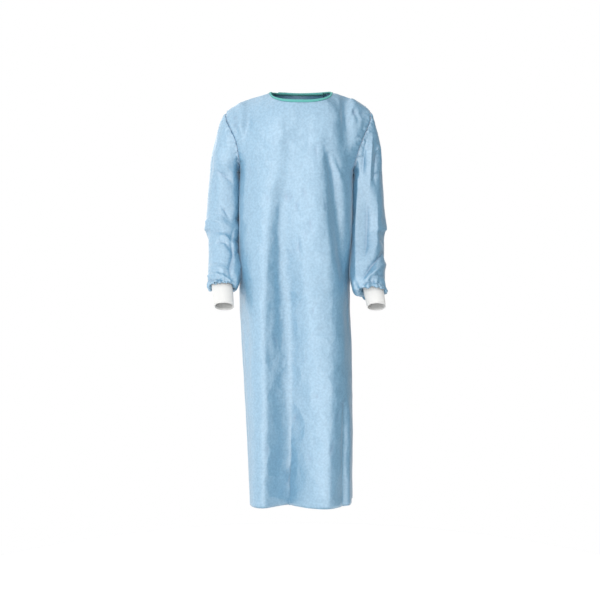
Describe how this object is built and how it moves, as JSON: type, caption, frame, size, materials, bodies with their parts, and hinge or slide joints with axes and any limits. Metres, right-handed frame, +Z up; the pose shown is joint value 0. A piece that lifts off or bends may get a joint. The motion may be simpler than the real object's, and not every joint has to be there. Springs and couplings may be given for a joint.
{
  "type": "surgical gown",
  "caption": "Long-sleeved blue nonwoven gown with a bound round neck, a lapped back held closed at the neck, and white rib knit cuffs.",
  "frame": {"origin": "midway between the two neck points, where the shoulder seams meet the neck binding; the gown hangs below it", "axes": "+Z up, -Y out of the gown's front, +X towards the wearer's left; the front face lies to -Y"},
  "size_m": [0.5804, 0.2989, 1.3044],
  "materials": {
    "gown_cloth": "matt blue nonwoven with a slight sheen",
    "rib_knit": "matt white rib knit",
    "binding_cloth": "matt teal woven tape",
    "fastening": "matt white hook-and-loop tape"
  },
  "bodies": {
    "root": {"front": "gown_cloth", "back_left": "gown_cloth", "back_right": "gown_cloth", "sleeve_left": "gown_cloth", "sleeve_right": "gown_cloth", "cuff_left": "rib_knit", "cuff_right": "rib_knit", "neck_binding": "binding_cloth", "fastening_hooks": "fastening", "fastening_loops": "fastening"}
  },
  "joints": []
}
